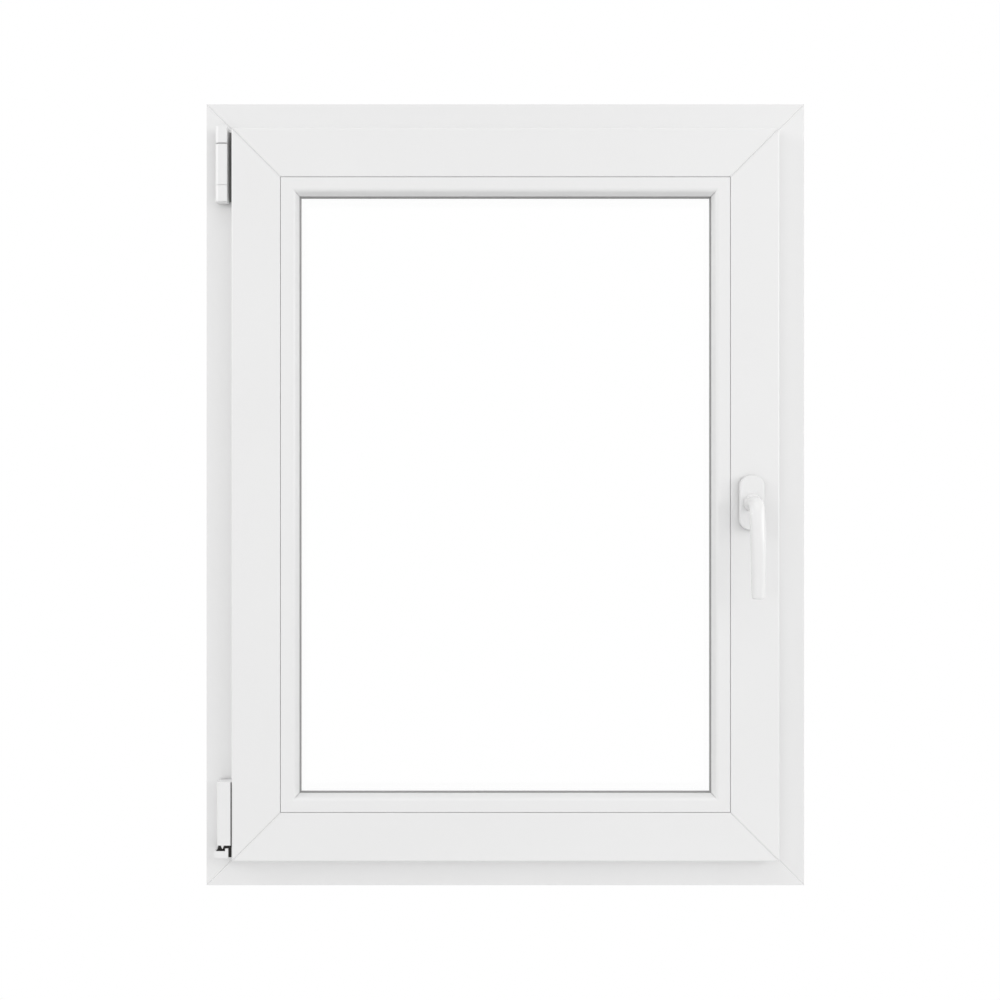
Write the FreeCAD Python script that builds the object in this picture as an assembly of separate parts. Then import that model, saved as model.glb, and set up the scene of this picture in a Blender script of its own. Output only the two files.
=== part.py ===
# Tilt-and-turn window in white PVC-U: mitred hollow frame and sash, glazing beads,
# double glazing, seals, corner hinges and a turning handle.
#
# Frame of reference, in millimetres: the origin lies on the flat underside of the
# frame, halfway along it and halfway through the frame's depth. X runs along the
# window, Y from the room to the outside and Z upwards. The room side faces -Y.
#
# Profile sections are drawn in (u, y): u is the distance in from the frame's outer
# edge towards the glass, and y is the depth, from the room to the outside.

import FreeCAD, Part
import math
import os

from FreeCAD import Vector

# Overall size and the outer frame's profile
window_width = 750.0
window_height = 980.0
frame_depth = 70.0
frame_face = 44.0
rebate_height = 26.0
ledge_width = 17.0
trough_drop = 5.0
trough_fall = 3.0
stop_fall = 4.0
stop_radius = 3.0
anchor_groove_offset = 20.0
anchor_groove_width = 8.0
anchor_groove_depth = 5.0
anchor_groove_undercut = 1.5

# The sash's profile and how it sits in the frame
sash_depth = 70.0
sash_step = 20.0
sash_face = 60.5
overlap = 8.5
rebate_gap = 12.0
seal_gap = 3.0
sash_edge_radius = 2.0
sash_bevel_width = 9.0
sash_bevel_depth = 14.0
hardware_groove_axis = 13.0
hardware_groove_width = 16.0
hardware_groove_step = 3.0
rod_groove_width = 12.0
rod_groove_depth = 12.0

# Walls shared by every hollow profile
wall = 2.8
web = 1.2
small_radius = 0.6
weld_groove = 0.85

# Glazing
bead_width = 22.6
bead_depth = 10.0
bead_joint = 0.6
bead_nose_width = 5.5
bead_nose_drop = 8.5
bead_nose_radius = 6.0
bead_foot_depth = 5.0
bead_foot_thickness = 2.8
bead_foot_play = 0.3
outer_lip_drop = 5.0
outer_lip_slope = 3.6
pane_thickness = 4.0
cavity = 16.0
glass_bite = 19.6
spacer_height = 7.0
edge_seal_height = 5.0

# Seals: the stretch on the glass or the frame, and the foot that holds it
glazing_seal_room = 3.0
glazing_seal_outer = 3.0
glazing_seal_show = 1.9
glazing_seal_outer_show = 0.9
glazing_seal_cover = 7.0
seal_foot_width = 2.5
seal_foot_depth = 4.0
seal_pad_width = 4.5
seal_inset = 2.5

# Hinge line, at the left edge of the sash seen from the room
hinge_offset = 13.3
hinge_projection = 12.8
hinge_radius = 7.3
stay_cover_radius = 4.5
hinge_shell = 1.4
hinge_end_bevel = 1.2
hinge_play = 0.2
hinge_pin_radius = 3.0
hinge_plate = 2.4
hinge_joint = 0.7
stay_cap_upper = 21.6
stay_knuckle = 51.7
stay_cap_lower = 20.6
stay_cap_rise = 2.7
stay_plate_inset = 3.6
stay_arm_length = 360.0
stay_arm_width = 12.0
stay_arm_thickness = 2.5
stay_arm_tab = 24.0
stay_arm_tab_drop = 4.0
corner_cover_width = 17.0
corner_foot = 3.5
corner_cover_height = 78.0
corner_cover_radius = 4.0
corner_cover_rise = 20.3
corner_leaf_height = 120.0
corner_tab_height = 40.0
pivot_cap_width = 17.0
pivot_cap_shift = 1.1
pivot_cap_height = 9.8
pivot_cap_rise = 3.5
pivot_cap_radius = 2.5
pivot_lug_width = 3.6
pivot_lug_height = 3.3
pivot_pin_radius = 2.5
pivot_seat_radius = 4.9

# Handle on the right-hand stile
handle_height = 480.0
handle_backset = 15.5
rosette_width = 30.0
rosette_height = 67.0
rosette_corner = 13.0
rosette_thickness = 11.0
rosette_shell = 1.5
rosette_edge_bevel = 0.9
rosette_clip_gap = 0.2
dowel_spacing = 43.0
dowel_radius = 5.0
dowel_depth = 5.0
dowel_play = 0.2
collar_radius = 11.0
collar_play = 0.15
collar_inset = 5.0
neck_gap = 1.2
neck_length = 18.0
elbow_radius = 16.0
grip_end = 116.0
grip_radius = 7.2
grip_flat = 1.8
grip_tip_bevel = 1.5
spindle_side = 7.0
spindle_in_sash = 22.0
spindle_in_lever = 9.0
spindle_hole_radius = 6.0

# Covers over the drainage slots, on the outside of the bottom frame member
drain_cap_length = 38.0
drain_cap_height = 13.0
drain_cap_projection = 7.0
drain_cap_wall = 1.4
drain_cap_offset = 220.0
drain_cap_rise = 9.0
drain_slot_length = 28.0
drain_slot_height = 5.0

# Depth planes
frame_room_y = -frame_depth / 2
frame_out_y = frame_depth / 2
sash_room_y = frame_room_y - sash_step
sash_out_y = sash_room_y + sash_depth
leg_back_y = frame_room_y - seal_gap
stop_y = sash_out_y + seal_gap
bead_back_y = sash_room_y + bead_depth
glass_room_y = bead_back_y + glazing_seal_room
glass_out_y = glass_room_y + 2 * pane_thickness + cavity
lip_y = glass_out_y + glazing_seal_outer

# Distances in from the frame's outer edge
frame_top = frame_face + rebate_height
trough = frame_face - trough_drop
sash_edge = frame_face - overlap
sash_body = frame_face + rebate_gap
bead_seat = sash_edge + sash_face
sight_line = bead_seat + bead_width
outer_lip = sight_line - outer_lip_drop
rebate_floor = bead_seat - 2.0
glass_edge = sight_line - glass_bite
mitre_reach = sight_line + 10.0

# Hinge line and handle axis
left_edge = -window_width / 2
right_edge = window_width / 2
hinge_x = left_edge + sash_edge - hinge_offset
hinge_y = frame_room_y - hinge_projection
sash_left = left_edge + sash_edge
sash_right = right_edge - sash_edge
sash_top = window_height - sash_edge
handle_x = right_edge - sash_body - handle_backset


def section_point(u, y):
    return Vector(0, y, u)


def rounded_wire(corners, to_point=section_point):
    """A closed outline through (a, b, radius) corners: an arc where it is rounded, a flat where it is only eased."""
    points = [to_point(a, b) for a, b, _ in corners]
    starts, mids, ends = [], [], []
    for i, (_, _, radius) in enumerate(corners):
        here = points[i]
        towards = (points[i - 1] - here).normalize()
        onwards = (points[(i + 1) % len(points)] - here).normalize()
        half_angle = towards.getAngle(onwards) / 2
        reach = radius / math.tan(half_angle)
        bisector = (towards + onwards).normalize()
        centre = here + bisector * (radius / math.sin(half_angle))
        starts.append(here + towards * reach)
        mids.append(centre - bisector * radius)
        ends.append(here + onwards * reach)
    edges = []
    for i, (_, _, radius) in enumerate(corners):
        if radius > small_radius:
            edges.append(Part.Arc(starts[i], mids[i], ends[i]).toShape())
        elif radius > 0:
            edges.append(Part.LineSegment(starts[i], ends[i]).toShape())
        following = starts[(i + 1) % len(corners)]
        if (following - ends[i]).Length > 1e-6:
            edges.append(Part.LineSegment(ends[i], following).toShape())
    return Part.Wire(edges)


def chamber(u_low, u_high, y_low, y_high):
    corners = [(u_low, y_low, 0), (u_high, y_low, 0), (u_high, y_high, 0), (u_low, y_high, 0)]
    return rounded_wire(corners)


def hollow_section(outline, chambers):
    wires = [rounded_wire(outline)] + [chamber(*box) for box in chambers]
    return Part.makeFace(wires, "Part::FaceMakerBullseye")


def block(x_low, x_high, y_low, y_high, z_low, z_high):
    size = (x_high - x_low, y_high - y_low, z_high - z_low)
    return Part.makeBox(*size, Vector(x_low, y_low, z_low))


def upright(radius, z_low, z_high, x=hinge_x, y=hinge_y):
    return Part.makeCylinder(radius, z_high - z_low, Vector(x, y, z_low))


def mitre_prism(length):
    """The trapezoid that a bar of this outer length fills between its two 45 degree mitres."""
    half = length / 2
    corners = [(-half, 0), (half, 0), (half - mitre_reach, mitre_reach), (mitre_reach - half, mitre_reach)]
    depth = frame_depth + sash_depth
    points = [Vector(x, -depth, z) for x, z in corners]
    return Part.Face(Part.makePolygon(points + points[:1])).extrude(Vector(0, 2 * depth, 0))


def weld_cut(length, face_y, outward, end):
    """A fine V along one mitre on one face, as the weld is cleaned off."""
    start = Vector(end * length / 2, face_y, 0)
    across = Vector(end, 0, 1).normalize()
    depth = Vector(0, outward, 0)
    corners = [
        start - depth * weld_groove,
        start + depth * weld_groove + across * (2 * weld_groove),
        start + depth * weld_groove - across * (2 * weld_groove),
    ]
    triangle = Part.Face(Part.makePolygon(corners + corners[:1]))
    return triangle.extrude(Vector(-end * mitre_reach, 0, mitre_reach))


def mitred_bar(section, length, welded_faces=()):
    """A bar lying along X with u upwards. welded_faces lists (y of a face, its outward sign)."""
    bar = section.extrude(Vector(length, 0, 0))
    bar.translate(Vector(-length / 2, 0, 0))
    bar = bar.common(mitre_prism(length))
    cuts = [weld_cut(length, y, outward, end) for y, outward in welded_faces for end in (-1, 1)]
    return bar.cut(cuts) if cuts else bar


def on_side(bar, side):
    """Turns a bottom bar to its side of the window."""
    turns = {"bottom": 0, "right": -90, "top": 180, "left": 90}
    places = {
        "bottom": Vector(0, 0, 0),
        "right": Vector(right_edge, 0, window_height / 2),
        "top": Vector(0, 0, window_height),
        "left": Vector(left_edge, 0, window_height / 2),
    }
    placed = bar.copy()
    placed.rotate(Vector(0, 0, 0), Vector(0, 1, 0), turns[side])
    placed.translate(places[side])
    return placed


def four_sides(section, welded_faces=()):
    """The four mitred members of one profile, by side."""
    across = mitred_bar(section, window_width, welded_faces)
    upwards = mitred_bar(section, window_height, welded_faces)
    lengths = {"top": across, "bottom": across, "left": upwards, "right": upwards}
    return {side: on_side(bar, side) for side, bar in lengths.items()}


def ring(section):
    """A seal or spacer that runs round all four sides as one piece."""
    sides = list(four_sides(section).values())
    return sides[0].fuse(sides[1:]).removeSplitter()


# Outer frame


def frame_section():
    half_groove = anchor_groove_width / 2
    grooves = []
    for centre in (anchor_groove_offset, -anchor_groove_offset):
        grooves += [
            (0, centre + half_groove, 0),
            (anchor_groove_depth, centre + half_groove + anchor_groove_undercut, 0),
            (anchor_groove_depth, centre - half_groove - anchor_groove_undercut, 0),
            (0, centre - half_groove, 0),
        ]
    foot_u = frame_top - seal_inset - seal_foot_width
    outline = [
        (0, frame_room_y, small_radius),
        (frame_face, frame_room_y, small_radius),
        (frame_face, frame_room_y + ledge_width, small_radius),
        (trough, frame_room_y + ledge_width, 0),
        (trough - trough_fall, stop_y, 0),
        (foot_u, stop_y, 0),
        (foot_u, stop_y + seal_foot_depth, 0),
        (foot_u + seal_foot_width, stop_y + seal_foot_depth, 0),
        (foot_u + seal_foot_width, stop_y, 0),
        (frame_top, stop_y, small_radius),
        (frame_top - stop_fall, frame_out_y, stop_radius),
        (0, frame_out_y, small_radius),
    ]
    floor = trough - trough_fall - wall
    above_grooves = anchor_groove_depth + web
    middle_low = frame_room_y + wall + frame_depth / 8 + web
    middle_high = stop_y - frame_depth / 7
    chambers = [
        (above_grooves, frame_face - wall, frame_room_y + wall, middle_low - web),
        (above_grooves, floor, middle_low, middle_high),
        (above_grooves, floor, middle_high + web, stop_y + wall - web),
        (above_grooves, foot_u - web, stop_y + wall, frame_out_y - wall),
    ]
    return hollow_section(outline + grooves, chambers)


def drain_slot(x):
    low = drain_cap_rise + drain_cap_wall
    half = drain_slot_length / 2
    return block(x - half, x + half, frame_out_y - wall - web, frame_out_y + web, low, low + drain_slot_height)


def drain_cap(x):
    """A hood over a drainage slot, open underneath."""
    half = drain_cap_length / 2
    low, high = drain_cap_rise, drain_cap_rise + drain_cap_height
    face = frame_out_y + drain_cap_projection
    hood = block(x - half, x + half, frame_out_y, face, low, high)
    front_edges = [e for e in hood.Edges if all(v.Y > face - 0.01 for v in e.Vertexes)]
    shaped = [e for e in front_edges if any(v.Z > high - 0.01 for v in e.Vertexes)]
    hood = hood.makeFillet(drain_cap_projection / 3, shaped)
    inner = half - drain_cap_wall
    hollow = block(
        x - inner, x + inner, frame_out_y - 1, face - drain_cap_wall, low - 1, high - 2 * drain_cap_wall
    )
    return hood.cut(hollow)


def frame_members():
    welded = [(frame_room_y, -1), (frame_out_y, 1)]
    members = four_sides(frame_section(), welded)
    slots = [drain_slot(x) for x in (-drain_cap_offset, drain_cap_offset)]
    return {
        "frame_head": members["top"],
        "frame_sill": members["bottom"].cut(slots),
        "frame_jamb_hinge_side": members["left"],
        "frame_jamb_handle_side": members["right"],
        "drain_cap_left": drain_cap(-drain_cap_offset),
        "drain_cap_right": drain_cap(drain_cap_offset),
    }


# Sash


def sash_section():
    groove_y = leg_back_y + hardware_groove_axis
    half_groove = hardware_groove_width / 2
    half_rod = rod_groove_width / 2
    rod_floor = sash_body + rod_groove_depth
    step = sash_body + hardware_groove_step
    foot_u = sash_edge + seal_inset
    outside_lip = outer_lip - outer_lip_slope - sash_bevel_width
    clip_low = bead_back_y - bead_foot_thickness - bead_foot_play
    clip_floor = bead_seat - bead_foot_depth - bead_foot_play
    outline = [
        (sash_edge, sash_room_y, sash_edge_radius),
        (bead_seat, sash_room_y, small_radius),
        (bead_seat, clip_low, 0),
        (clip_floor, clip_low, 0),
        (clip_floor, bead_back_y, 0),
        (rebate_floor, bead_back_y, 0),
        (rebate_floor, lip_y, 0),
        (outer_lip, lip_y, small_radius),
        (outer_lip - outer_lip_slope, sash_out_y - sash_bevel_depth, small_radius),
        (outside_lip, sash_out_y, stop_radius),
        (sash_body, sash_out_y, small_radius),
        (sash_body, groove_y + half_groove, 0),
        (step, groove_y + half_groove, 0),
        (step, groove_y + half_rod, 0),
        (rod_floor, groove_y + half_rod, 0),
        (rod_floor, groove_y - half_rod, 0),
        (step, groove_y - half_rod, 0),
        (step, groove_y - half_groove, 0),
        (sash_body, groove_y - half_groove, 0),
        (sash_body, leg_back_y, 0),
        (foot_u + seal_foot_width, leg_back_y, 0),
        (foot_u + seal_foot_width, leg_back_y - seal_foot_depth, 0),
        (foot_u, leg_back_y - seal_foot_depth, 0),
        (foot_u, leg_back_y, 0),
        (sash_edge, leg_back_y, small_radius),
    ]
    leg_floor_y = leg_back_y - seal_foot_depth - web
    inner_u = rod_floor + web
    clip_wall = clip_floor - web
    lip_wall_y = lip_y + wall
    outer_web_y = (lip_wall_y + sash_out_y - wall) / 2
    chambers = [
        (sash_edge + wall, inner_u - web, sash_room_y + wall, leg_floor_y),
        (inner_u, bead_seat - wall, sash_room_y + wall, clip_low - web),
        (inner_u, clip_wall, clip_low, lip_wall_y - web),
        (step, outside_lip - wall, lip_wall_y, outer_web_y),
        (step, outside_lip - wall, outer_web_y + web, sash_out_y - wall),
    ]
    return hollow_section(outline, chambers)


def handle_holes():
    """Bores through the handle-side stile for the spindle and the rosette's two dowels."""
    inwards = Vector(0, 1, 0)
    start = sash_room_y - web
    holes = [
        Part.makeCylinder(
            spindle_hole_radius, spindle_in_sash + 2 * web, Vector(handle_x, start, handle_height), inwards
        )
    ]
    for end in (-1, 1):
        centre = Vector(handle_x, start, handle_height + end * dowel_spacing / 2)
        holes.append(
            Part.makeCylinder(dowel_radius + dowel_play, dowel_depth + web + dowel_play, centre, inwards)
        )
    return holes


def sash_members():
    welded = [(sash_room_y, -1), (sash_out_y, 1)]
    members = four_sides(sash_section(), welded)
    return {
        "sash_top_rail": members["top"],
        "sash_bottom_rail": members["bottom"],
        "sash_hinge_stile": members["left"],
        "sash_handle_stile": members["right"].cut(handle_holes()),
    }


# Glazing beads, glass and seals


def bead_section():
    """The nose is rounded over from the room face and slopes down to the glazing seal."""
    low = bead_seat + bead_joint
    foot_low = bead_back_y - bead_foot_thickness
    outline = [
        (low, sash_room_y, small_radius),
        (sight_line - bead_nose_width, sash_room_y, bead_nose_radius),
        (sight_line, sash_room_y + bead_nose_drop, small_radius),
        (sight_line, bead_back_y, small_radius),
        (bead_seat - bead_foot_depth, bead_back_y, 0),
        (bead_seat - bead_foot_depth, foot_low, 0),
        (low, foot_low, 0),
    ]
    hollow = [(low + 2 * web, sight_line - bead_nose_width, sash_room_y + 2 * web, foot_low)]
    return hollow_section(outline, hollow)


def beads():
    members = four_sides(bead_section())
    return {f"glazing_bead_{side}": bar for side, bar in members.items()}


def pane(y_low):
    return block(
        left_edge + glass_edge,
        right_edge - glass_edge,
        y_low,
        y_low + pane_thickness,
        glass_edge,
        window_height - glass_edge,
    )


def cavity_ring(u_low, height):
    low = glass_room_y + pane_thickness
    return ring(hollow_section([(u_low, low, 0), (u_low + height, low, 0),
                                (u_low + height, low + cavity, 0), (u_low, low + cavity, 0)], []))


def glazing_seal(glass_y, carrier_y, carrier_end, show):
    """A wedge of rubber between the glass and the bead or lip, proud of the end of its carrier."""
    low = carrier_end - glazing_seal_cover
    corners = [
        (low, carrier_y, 0),
        (carrier_end, carrier_y, 0),
        (carrier_end + show, (carrier_y + glass_y) / 2, small_radius / 2),
        (carrier_end + show, glass_y, 0),
        (low, glass_y, 0),
    ]
    return ring(Part.Face(rounded_wire(corners)))


def footed_seal(foot_u, pad_u, carrier_y, reach):
    """A rubber pad that fills a gap, on a foot in its carrier's groove."""
    into = math.copysign(seal_foot_depth, -reach)
    corners = [
        (foot_u, carrier_y, 0),
        (foot_u, carrier_y + into, 0),
        (foot_u + seal_foot_width, carrier_y + into, 0),
        (foot_u + seal_foot_width, carrier_y, 0),
        (pad_u + seal_pad_width, carrier_y, 0),
        (pad_u + seal_pad_width, carrier_y + reach, small_radius),
        (pad_u, carrier_y + reach, small_radius),
        (pad_u, carrier_y, 0),
    ]
    return ring(Part.Face(rounded_wire(corners)))


def hinge_notches():
    """Where the two hinges' tabs pass the sash seal."""
    sides = (left_edge + sash_edge, left_edge + sash_body)
    gap = (leg_back_y, frame_room_y)
    return [
        block(*sides, *gap, low - hinge_play, high + hinge_play)
        for low, high in (stay_tab_span(), corner_tab_span(), pivot_tab_span())
    ]


def glazing():
    sash_foot = sash_edge + seal_inset
    frame_foot = frame_top - seal_inset - seal_foot_width
    sash_seal = footed_seal(sash_foot, sash_foot - 1, leg_back_y, seal_gap)
    return {
        "glass_pane_room": pane(glass_room_y),
        "glass_pane_outer": pane(glass_out_y - pane_thickness),
        "glass_spacer": cavity_ring(glass_edge + edge_seal_height, spacer_height),
        "glass_edge_seal": cavity_ring(glass_edge, edge_seal_height),
        "glazing_seal_room": glazing_seal(glass_room_y, bead_back_y, sight_line, glazing_seal_show),
        "glazing_seal_outer": glazing_seal(glass_out_y, lip_y, outer_lip, glazing_seal_outer_show),
        "sash_seal": sash_seal.cut(hinge_notches()),
        "frame_seal": footed_seal(frame_foot, frame_foot - 1, stop_y, -seal_gap),
    }


# Upper hinge: a bracket on the frame, the stay arm's knuckle, a pin and three covers


def stay_levels():
    """The heights of the upper hinge's joints, from its lower end to its upper end."""
    top = sash_top + stay_cap_rise
    knuckle_top = top - stay_cap_upper
    knuckle_low = knuckle_top - stay_knuckle
    return knuckle_low - stay_cap_lower, knuckle_low, knuckle_top, top


def stay_tab_span():
    knuckle_top = stay_levels()[2]
    high = knuckle_top - stay_arm_tab_drop
    return high - stay_arm_tab, high


def hinge_eye(z_low, z_high, radius):
    """A bored eye on the hinge line, with a web back to the frame's face."""
    web_half = radius * 0.6
    back = block(hinge_x - web_half, hinge_x + web_half, hinge_y, frame_room_y, z_low, z_high)
    return upright(radius, z_low, z_high).fuse(back).cut(upright(hinge_pin_radius, z_low - 1, z_high + 1))


def stay_bracket():
    bottom, knuckle_low, knuckle_top, top = stay_levels()
    eye_radius = hinge_radius - hinge_shell
    plate = block(
        hinge_x - hinge_radius,
        sash_left - hinge_play,
        frame_room_y - hinge_plate,
        frame_room_y,
        bottom + stay_plate_inset,
        top - stay_plate_inset,
    )
    tab_low, tab_high = stay_tab_span()
    window = block(
        hinge_x - 2 * hinge_play,
        sash_left + 1,
        frame_room_y - hinge_plate - 1,
        frame_room_y + 1,
        tab_low - hinge_play,
        tab_high + hinge_play,
    )
    lower_eye = hinge_eye(bottom + 2 * hinge_shell, knuckle_low - hinge_joint / 2, eye_radius)
    upper_eye = hinge_eye(knuckle_top + hinge_joint / 2, top - 2 * hinge_shell, eye_radius)
    return plate.cut(window).fuse([lower_eye, upper_eye])


def stay_arm():
    """The knuckle, its cranked tab through the sash's overlap, and the arm in the top rebate."""
    bottom, knuckle_low, knuckle_top, top = stay_levels()
    tab_low, tab_high = stay_tab_span()
    tab_y = (frame_room_y - hinge_plate + hinge_play, frame_room_y - hinge_play)
    turn_x = left_edge + (frame_face + sash_body) / 2
    arm_y = leg_back_y + hardware_groove_axis
    arm_z = window_height - (frame_face + sash_body) / 2
    radius = hinge_radius - hinge_shell
    knuckle = upright(radius, knuckle_low + hinge_joint / 2, knuckle_top - hinge_joint / 2)
    crank = block(hinge_x, hinge_x + radius * 0.6, hinge_y, tab_y[1], tab_low, tab_high)
    tab = block(hinge_x, turn_x, *tab_y, tab_low, tab_high)
    riser = block(
        turn_x - stay_arm_thickness, turn_x, tab_y[0], arm_y + stay_arm_width / 2, tab_low, arm_z
    )
    arm = block(
        turn_x - stay_arm_thickness,
        turn_x + stay_arm_length,
        arm_y - stay_arm_width / 2,
        arm_y + stay_arm_width / 2,
        arm_z - stay_arm_thickness,
        arm_z,
    )
    solid = knuckle.fuse([crank, tab, riser, arm])
    return solid.cut(upright(hinge_pin_radius, knuckle_low, knuckle_top))


def plan_point(x, y):
    return Vector(x, y, 0)


def plan_prism(corners, z_low, z_high):
    """An upright prism on an outline of (x, y, radius) corners."""
    prism = Part.Face(rounded_wire(corners, plan_point)).extrude(Vector(0, 0, z_high - z_low))
    prism.translate(Vector(0, 0, z_low))
    return prism


def sleeve(z_low, z_high, closed_end=0):
    """A hinge cover, flat to the room and rounded on its outer side. It is bored for the knuckle,
    open at the back for the web, and closed at one end or neither."""
    inner = hinge_radius - hinge_shell
    left, right = hinge_x - hinge_radius, hinge_x + hinge_radius
    front, back = hinge_y - hinge_radius, hinge_y + hinge_radius
    outline = [(left, back, 0), (left, front, stay_cover_radius),
               (right, front, stay_cover_radius / 3), (right, back, 0)]
    shell = plan_prism(outline, z_low, z_high)
    if closed_end:
        end_z = z_high if closed_end > 0 else z_low
        rim = [e for e in shell.Edges if abs(e.CenterOfMass.z - end_z) < 0.01 and e.CenterOfMass.y < back - 0.01]
        shell = shell.makeChamfer(hinge_end_bevel, rim)
    hollow_low = z_low - 1 if closed_end >= 0 else z_low + 2 * hinge_shell - hinge_play
    hollow_high = z_high + 1 if closed_end <= 0 else z_high - 2 * hinge_shell + hinge_play
    slot_half = inner * 0.6 + hinge_play
    slot = block(
        hinge_x - slot_half, hinge_x + slot_half, hinge_y, hinge_y + 2 * hinge_radius, hollow_low, hollow_high
    )
    return shell.cut([upright(inner, hollow_low, hollow_high), slot])


def upper_hinge():
    bottom, knuckle_low, knuckle_top, top = stay_levels()
    half_joint = hinge_joint / 2
    return {
        "stay_bracket": stay_bracket(),
        "stay_arm": stay_arm(),
        "stay_pin": upright(hinge_pin_radius, bottom + 2 * hinge_shell, top - 2 * hinge_shell),
        "stay_cap_upper": sleeve(knuckle_top + half_joint, top, 1),
        "stay_knuckle_cover": sleeve(knuckle_low + half_joint, knuckle_top - half_joint),
        "stay_cap_lower": sleeve(bottom, knuckle_low - half_joint, -1),
    }


# Lower hinge: a pivot rest on the frame and the sash's corner hinge that stands on it


def corner_span():
    low = sash_edge + corner_cover_rise
    return low, low + corner_cover_height


def corner_tab_span():
    low = corner_span()[0] + hinge_radius
    return low, low + corner_tab_height


def pivot_span():
    low = sash_edge + pivot_cap_rise
    return low, low + pivot_cap_height


def pivot_tab_span():
    low, high = pivot_span()
    return low + hinge_shell, high + pivot_lug_height


def pivot_sides():
    middle = hinge_x + pivot_cap_shift
    return middle - pivot_cap_width / 2, middle + pivot_cap_width / 2, sash_room_y - 1.5


def corner_outline(inset):
    right = sash_left - 1 - inset
    left = sash_left - 1 - corner_cover_width + inset
    front = sash_room_y - 1 + inset
    back = frame_room_y - hinge_plate - hinge_play
    radius = corner_cover_radius - inset
    return [(left, back, 0), (left, front, radius), (right, front, radius / 4), (right, back, 0)]


def corner_cover():
    low, high = corner_span()
    shell = plan_prism(corner_outline(0), low, high)
    core = plan_prism(corner_outline(hinge_shell), low - 1, high - hinge_shell)
    return shell.cut(core)


def corner_hinge():
    low, high = corner_span()
    body = plan_prism(corner_outline(hinge_shell), low - corner_foot, high - 2 * hinge_shell)
    tab_low, tab_high = corner_tab_span()
    tab_y = (frame_room_y - hinge_plate - hinge_play, frame_room_y - hinge_play)
    leaf_x = left_edge + sash_body
    tab = block(hinge_x, leaf_x, *tab_y, tab_low, tab_high)
    leaf = block(
        leaf_x - hinge_plate,
        leaf_x,
        tab_y[0],
        leg_back_y + hardware_groove_axis + hardware_groove_width / 2,
        tab_low,
        tab_low + corner_leaf_height,
    )
    bore = upright(pivot_pin_radius + hinge_play / 2, low - corner_foot - 1, high - 4 * hinge_shell)
    return body.fuse([tab, leaf]).cut(bore)


def pivot_cap():
    low, high = pivot_span()
    left, right, front = pivot_sides()
    back = frame_room_y - hinge_plate
    shell = block(left, right, front, back, low, high)
    lug = block(right - pivot_lug_width, right, front, back, high, high + pivot_lug_height)
    shell = shell.fuse(lug).removeSplitter()
    lower_edges = [e for e in shell.Edges if all(abs(v.Z - low) < 0.01 for v in e.Vertexes)]
    rounded = [e for e in lower_edges if any(v.Y < back - 0.01 for v in e.Vertexes)]
    shell = shell.makeFillet(pivot_cap_radius, rounded)
    core = block(
        left + hinge_shell, right - hinge_shell, front + hinge_shell, back + 1, low + 2 * hinge_shell, high + 10
    )
    keep_lug = block(
        right - pivot_lug_width, right, front, back, high, high + pivot_lug_height
    )
    return shell.cut(core.cut(keep_lug))


def pivot_rest():
    """The frame-side seat: a back plate with a tab under the sash, a shelf and the pin."""
    low, high = pivot_span()
    tab_low, tab_high = pivot_tab_span()
    left, right, front = pivot_sides()
    inset = hinge_shell + hinge_play
    plate = block(
        left + inset, left_edge + frame_face + 3, frame_room_y - hinge_plate, frame_room_y, tab_low, tab_high
    )
    shelf = block(
        left + inset, right - inset, front + inset, frame_room_y, low + 2 * hinge_shell, high - hinge_play
    )
    cover_low = corner_span()[0]
    seat = upright(pivot_seat_radius, high - 1, cover_low - corner_foot)
    pin = upright(pivot_pin_radius, high - 1, cover_low + corner_cover_height / 2)
    return plate.fuse([shelf, seat, pin])


def lower_hinge():
    return {
        "pivot_rest": pivot_rest(),
        "pivot_cap": pivot_cap(),
        "corner_hinge": corner_hinge(),
        "corner_hinge_cover": corner_cover(),
    }


# Handle: a rosette on the stile, and the lever and spindle that turn in it


def face_point(x, z):
    return Vector(x, sash_room_y, z)


def rosette_prism(inset, projection):
    """A rounded plate standing on the sash's room face."""
    half_width = rosette_width / 2 - inset
    half_height = rosette_height / 2 - inset
    radius = rosette_corner - inset
    corners = [
        (handle_x + sx * half_width, handle_height + sz * half_height, radius)
        for sx, sz in ((-1, -1), (1, -1), (1, 1), (-1, 1))
    ]
    return Part.Face(rounded_wire(corners, face_point)).extrude(Vector(0, -projection, 0))


def handle_cylinder(radius, start, end, z=handle_height):
    """A cylinder along the handle's axis, by its distances from the sash's room face."""
    centre = Vector(handle_x, sash_room_y - start, z)
    return Part.makeCylinder(radius, end - start, centre, Vector(0, -1, 0))


def rosette_cover():
    shell = rosette_prism(0, rosette_thickness)
    face_y = sash_room_y - rosette_thickness
    rim = [e for e in shell.Edges if all(abs(v.Y - face_y) < 0.01 for v in e.Vertexes)]
    shell = shell.makeChamfer(rosette_edge_bevel, rim)
    core = rosette_prism(rosette_shell, rosette_thickness - rosette_shell)
    hole = handle_cylinder(collar_radius + collar_play, 0, rosette_thickness + 1)
    return shell.cut([core, hole])


def rosette_base():
    thickness = rosette_thickness - rosette_shell - rosette_clip_gap
    plate = rosette_prism(rosette_shell + rosette_clip_gap, thickness)
    dowels = [
        handle_cylinder(dowel_radius, -dowel_depth, 1, handle_height + end * dowel_spacing / 2)
        for end in (-1, 1)
    ]
    seat = handle_cylinder(collar_radius + collar_play, -1, rosette_thickness)
    return plate.fuse(dowels).cut(seat)


def flat_oval_bar(z_low, z_high):
    """An upright bar with a stadium section: two round edges joined by flats."""
    edges = [upright(grip_radius, z_low, z_high, x, 0) for x in (-grip_flat, grip_flat)]
    middle = block(-grip_flat, grip_flat, -grip_radius, grip_radius, z_low, z_high)
    return edges[0].fuse([edges[1], middle]).removeSplitter()


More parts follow.
